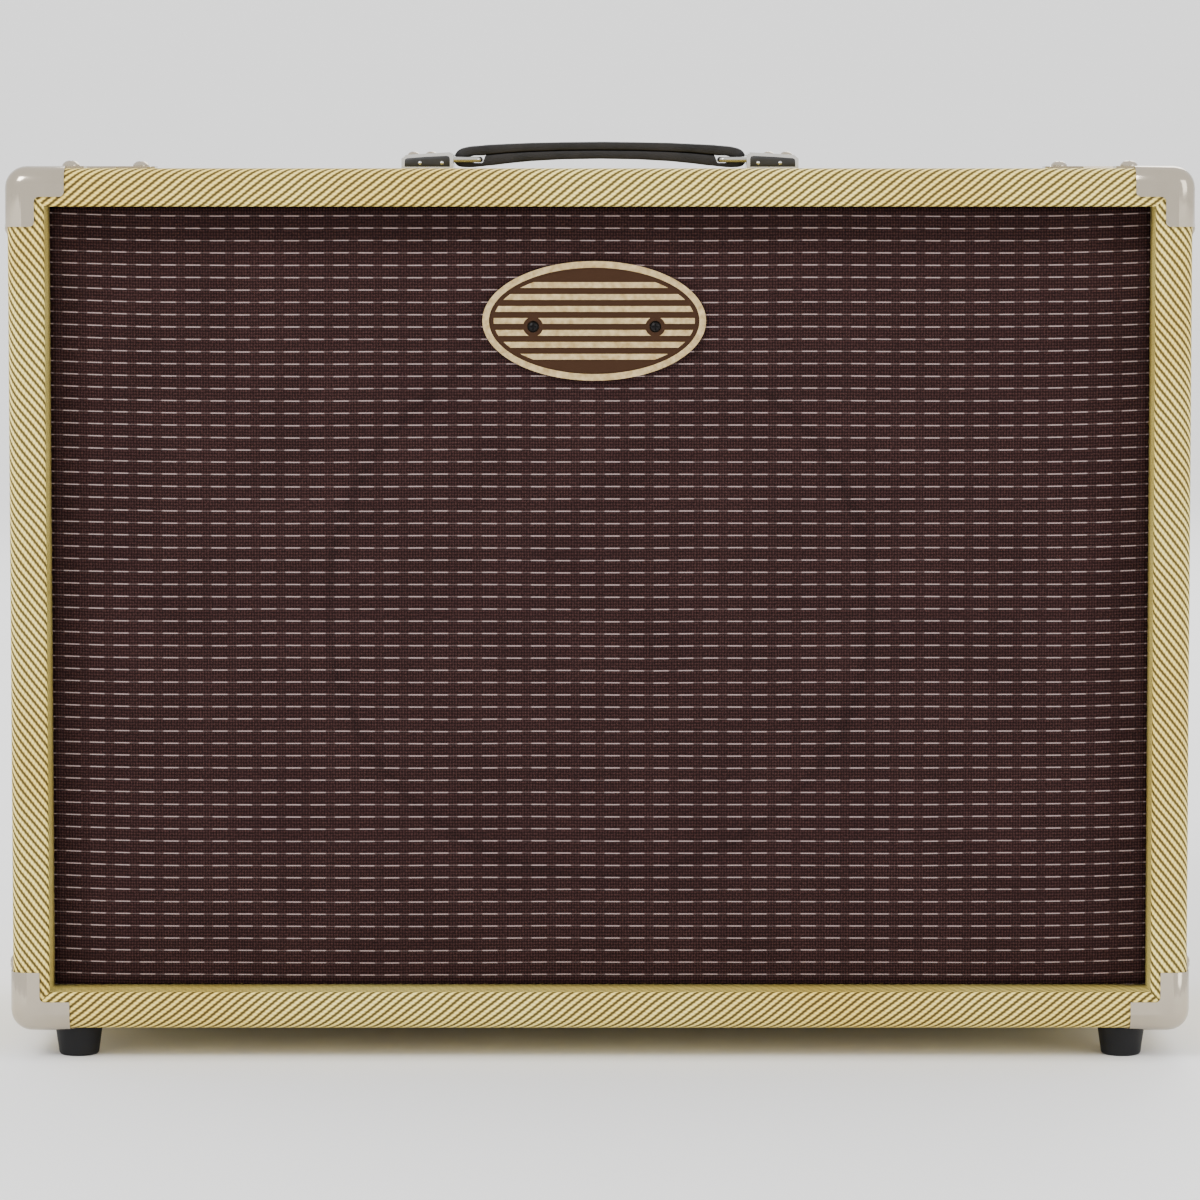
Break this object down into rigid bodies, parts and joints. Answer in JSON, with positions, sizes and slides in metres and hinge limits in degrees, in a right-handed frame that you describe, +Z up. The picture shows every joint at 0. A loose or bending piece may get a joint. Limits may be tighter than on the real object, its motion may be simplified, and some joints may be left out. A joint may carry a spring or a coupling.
{
  "type": "guitar amplifier",
  "caption": "Tweed-covered guitar combo amplifier with woven grille, one loudspeaker, plated corners, strap handle, and a rear control panel above an open back.",
  "frame": {"origin": "centre of the footprint, on the surface that the feet stand on", "axes": "+X to the right seen from the front, -Y the way the grille faces, +Z up"},
  "size_m": [0.6182, 0.2674, 0.4774],
  "materials": {
    "badge_gold": "satin old gold on a brown ground",
    "basket_steel": "pressed steel, grey enamel",
    "black_leather": "black moulded strap with a light grain",
    "black_rubber": "moulded, matt",
    "black_steel": "blackened steel, satin",
    "bushing_nickel": "nickel plated",
    "cap_chrome": "plated, polished",
    "cap_paper": "felted paper",
    "capacitor_sleeve": "shrink sleeve",
    "chassis_steel": "zinc passivated folded sheet",
    "coil_copper": "enamelled copper",
    "cone_paper": "felted paper, ribbed",
    "covered_board": "thin board wrapped in the same woven tweed",
    "ferrite": "sintered ferrite",
    "fibre_board": "fibre board",
    "fuse_plastic": "phenolic",
    "gasket_paper": "pressed paper",
    "grille_cloth": "oxblood woven grille cloth with pale metallic thread",
    "inlet_plastic": "moulded black",
    "jack_plastic": "moulded black",
    "knob_black": "phenolic, polished",
    "lamp_chrome": "polished",
    "lamp_jewel": "faceted red glass",
    "lead_jacket": "round black jacket",
    "lever_chrome": "polished",
    "link_steel": "plated wire",
    "nickel_plate": "nickel plated pressed steel, polished",
    "nut_nickel": "nickel plated",
    "panel_aluminium": "brushed, clear anodised",
    "pin_brass": "plated",
    "pine": "planed pine, bare inside",
    "plywood": "birch plywood, edges bare",
    "pot_steel": "plated",
    "screw_chrome": "plated, polished",
    "socket_ceramic": "glazed",
    "spider_cloth": "varnished linen",
    "surround_cloth": "doped cloth",
    "terminal_board": "phenolic board",
    "transformer_iron": "varnished laminations, black",
    "tweed": "woven diagonal tweed, cream and olive brown, lightly lacquered",
    "valve_glass": "clear envelope",
    "yoke_steel": "yellow passivated",
    "zinc_steel": "zinc plated"
  },
  "bodies": {
    "cabinet": {"badge_plate": "badge_gold", "badge_screws": "black_steel", "baffle_board": "plywood", "basket_cup": "basket_steel", "battens": "pine", "bottom_board": "pine", "chassis": "chassis_steel", "chassis_screws": "zinc_steel", "circuit_board": "fibre_board", "control_panel": "panel_aluminium", "corner_screws": "screw_chrome", "filter_capacitors": "capacitor_sleeve", "foot_screws": "zinc_steel", "front_corner_protectors": "nickel_plate", "fuse_holder": "fuse_plastic", "grille_cloth": "grille_cloth", "handle_cap_left": "cap_chrome", "handle_cap_right": "cap_chrome", "handle_screws": "screw_chrome", "inlet_pins": "pin_brass", "jack_sockets": "jack_plastic", "left_side_board": "pine", "lower_back_panel": "covered_board", "magnet_ring": "ferrite", "magnet_yoke": "yoke_steel", "mains_inlet": "inlet_plastic", "output_transformer": "transformer_iron", "panel_nuts": "nut_nickel", "pilot_lamp_holder": "lamp_chrome", "pilot_lamp_jewel": "lamp_jewel", "potentiometers": "pot_steel", "power_transformer": "transformer_iron", "rear_corner_protectors": "nickel_plate", "rear_panel_screws": "zinc_steel", "right_side_board": "pine", "rubber_feet": "black_rubber", "speaker_basket": "basket_steel", "speaker_bolts": "zinc_steel", "speaker_gasket": "gasket_paper", "speaker_lead": "lead_jacket", "speaker_spider": "spider_cloth", "speaker_surround": "surround_cloth", "speaker_terminals": "terminal_board", "toggle_switch_bodies": "bushing_nickel", "top_board": "pine", "tweed_covering": "tweed", "valve_sockets": "socket_ceramic", "valves": "valve_glass"},
    "strap": {"handle_strap": "black_leather"},
    "left_link": {"handle_link_left": "link_steel"},
    "right_link": {"handle_link_right": "link_steel"},
    "volume_control": {"volume_knob": "knob_black"},
    "bass_control": {"bass_knob": "knob_black"},
    "treble_control": {"treble_knob": "knob_black"},
    "master_control": {"master_knob": "knob_black"},
    "standby_lever": {"standby_switch_lever": "lever_chrome"},
    "power_lever": {"power_switch_lever": "lever_chrome"},
    "moving_coil": {"speaker_cone": "cone_paper", "dust_cap": "cap_paper", "voice_coil": "coil_copper"}
  },
  "joints": [
    {"name": "handle_lift", "type": "slide", "parent": "cabinet", "child": "strap", "axis": [0, 0, 1], "range_m": [0, 0.007]},
    {"name": "left_link_turn", "type": "hinge", "parent": "cabinet", "child": "left_link", "pos_m": [-0.0847, 0, 0.4677], "axis": [0, -1, 0], "range_deg": [0, 20.1]},
    {"name": "right_link_turn", "type": "hinge", "parent": "cabinet", "child": "right_link", "pos_m": [0.0847, 0, 0.4677], "axis": [0, 1, 0], "range_deg": [0, 20.1]},
    {"name": "volume_turn", "type": "hinge", "parent": "cabinet", "child": "volume_control", "pos_m": [0.17, 0.112, 0.4077], "axis": [0, -1, 0], "range_deg": [0, 300]},
    {"name": "bass_turn", "type": "hinge", "parent": "cabinet", "child": "bass_control", "pos_m": [0.11, 0.112, 0.4077], "axis": [0, -1, 0], "range_deg": [0, 300]},
    {"name": "treble_turn", "type": "hinge", "parent": "cabinet", "child": "treble_control", "pos_m": [0.05, 0.112, 0.4077], "axis": [0, -1, 0], "range_deg": [0, 300]},
    {"name": "master_turn", "type": "hinge", "parent": "cabinet", "child": "master_control", "pos_m": [-0.01, 0.112, 0.4077], "axis": [0, -1, 0], "range_deg": [0, 300]},
    {"name": "standby_toggle", "type": "hinge", "parent": "cabinet", "child": "standby_lever", "pos_m": [-0.072, 0.111, 0.4077], "axis": [1, 0, 0], "range_deg": [0, 30]},
    {"name": "power_toggle", "type": "hinge", "parent": "cabinet", "child": "power_lever", "pos_m": [-0.108, 0.111, 0.4077], "axis": [1, 0, 0], "range_deg": [0, 30]},
    {"name": "cone_travel", "type": "slide", "parent": "cabinet", "child": "moving_coil", "axis": [0, -1, 0], "range_m": [-0.003, 0.003], "stiffness_N_per_m": 6000}
  ],
  "couplings": [
    {"joint": "left_link_turn", "follows": "handle_lift", "rad_per_m": 50},
    {"joint": "right_link_turn", "follows": "handle_lift", "rad_per_m": 50}
  ]
}
